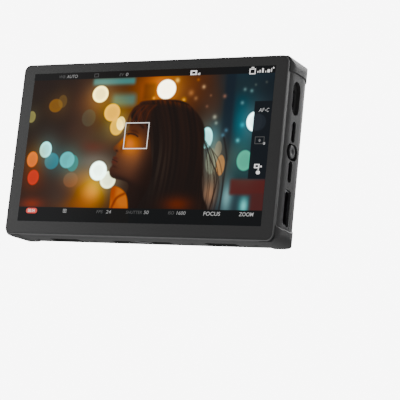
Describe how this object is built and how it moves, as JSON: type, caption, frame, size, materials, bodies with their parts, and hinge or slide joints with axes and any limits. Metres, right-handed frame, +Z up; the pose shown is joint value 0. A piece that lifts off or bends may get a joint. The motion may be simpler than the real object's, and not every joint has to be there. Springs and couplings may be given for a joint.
{
  "type": "camera field monitor",
  "caption": "Camera-top field monitor with a flat wide screen, grooved rear housing, battery plate bay, side ports, joystick, power button and cooling fan.",
  "frame": {"origin": "bottom centre of the bounding box, under the corner pads", "axes": "+X to the right for someone facing the screen, -Y out of the screen, +Z up"},
  "size_m": [0.136, 0.02, 0.081],
  "materials": {
    "housing": "satin, fine grain",
    "frame": "satin",
    "cover_glass": "polished",
    "glue": "clear",
    "panel": "polished",
    "light_guide": "clear",
    "led_bar": "satin",
    "sheet_steel": "brushed",
    "chassis": "cast, matt",
    "screw_steel": "satin",
    "case_screw": "dark satin",
    "flex": "satin",
    "circuit_board": "solder mask",
    "chip": "matt",
    "black_plastic": "satin",
    "thermal_pad": "soft matt",
    "heat_sink": "black anodised",
    "rotor_plastic": "satin",
    "filter": "woven",
    "port_shell": "plated",
    "gimbal_metal": "satin",
    "joystick_rubber": "matt",
    "button_plastic": "satin",
    "icon_print": "printed",
    "white_plastic": "satin",
    "plate_plastic": "satin",
    "label": "matt print",
    "contact_metal": "plated",
    "wire": "satin",
    "latch_plastic": "satin",
    "insert_metal": "turned"
  },
  "bodies": {
    "monitor": {"rear_housing": "housing", "front_frame": "frame", "cover_glass": "cover_glass", "glass_glue": "glue", "optical_glue": "glue", "lcd_panel": "panel", "light_guide": "light_guide", "led_bar": "led_bar", "lcd_tray": "sheet_steel", "lcd_flex": "flex", "chassis": "chassis", "frame_screws": "screw_steel", "housing_screws": "case_screw", "mainboard": "circuit_board", "board_screws": "screw_steel", "board_chips": "chip", "processor": "chip", "thermal_pad": "thermal_pad", "heat_sink": "heat_sink", "sink_screws": "screw_steel", "fan_housing": "black_plastic", "fan_cover": "sheet_steel", "fan_screws": "screw_steel", "dust_filter": "filter", "intake_filters": "filter", "hdmi_input_shell": "port_shell", "hdmi_input_core": "black_plastic", "hdmi_output_shell": "port_shell", "hdmi_output_core": "black_plastic", "usb_upper_shell": "port_shell", "usb_upper_core": "black_plastic", "usb_lower_shell": "port_shell", "usb_lower_core": "black_plastic", "control_shell": "port_shell", "control_core": "black_plastic", "joystick_board": "circuit_board", "joystick_base": "black_plastic", "power_switch": "black_plastic", "battery_plate": "plate_plastic", "plate_screws": "screw_steel", "label_plate": "label", "contact_block": "black_plastic", "battery_contacts": "contact_metal", "battery_wires": "wire", "latch_spring": "sheet_steel", "latch_bracket": "sheet_steel", "tripod_insert": "insert_metal"},
    "fan_rotor": {"fan_rotor": "rotor_plastic"},
    "power_button": {"power_button": "button_plastic", "power_icon": "icon_print", "power_plunger": "white_plastic"},
    "joystick_ring": {"joystick_ring": "gimbal_metal"},
    "joystick_stem": {"joystick_stem": "gimbal_metal"},
    "joystick_cap": {"joystick_cap": "joystick_rubber"},
    "battery_latch": {"battery_latch": "latch_plastic"}
  },
  "joints": [
    {"name": "fan_spin", "type": "hinge", "parent": "monitor", "child": "fan_rotor", "pos_m": [-0.0445, 0, 0.043], "axis": [0, 1, 0], "continuous": true},
    {"name": "power_press", "type": "slide", "parent": "monitor", "child": "power_button", "axis": [1, 0, 0], "range_m": [0, 0.0005], "stiffness_N_per_m": 400},
    {"name": "joystick_side_tilt", "type": "hinge", "parent": "monitor", "child": "joystick_ring", "pos_m": [0.0624, -0.0004, 0.0404], "axis": [0, 0, 1], "range_deg": [-3, 3], "stiffness_Nm_per_rad": 0.01},
    {"name": "joystick_up_tilt", "type": "hinge", "parent": "joystick_ring", "child": "joystick_stem", "pos_m": [0.0624, -0.0004, 0.0404], "axis": [0, 1, 0], "range_deg": [-3, 3], "stiffness_Nm_per_rad": 0.01},
    {"name": "joystick_press", "type": "slide", "parent": "joystick_stem", "child": "joystick_cap", "axis": [-1, 0, 0], "range_m": [0, 0.0004], "stiffness_N_per_m": 400},
    {"name": "latch_press", "type": "slide", "parent": "monitor", "child": "battery_latch", "axis": [0, -1, 0], "range_m": [0, 0.0013], "stiffness_N_per_m": 300, "deforming": ["latch_spring"]}
  ]
}
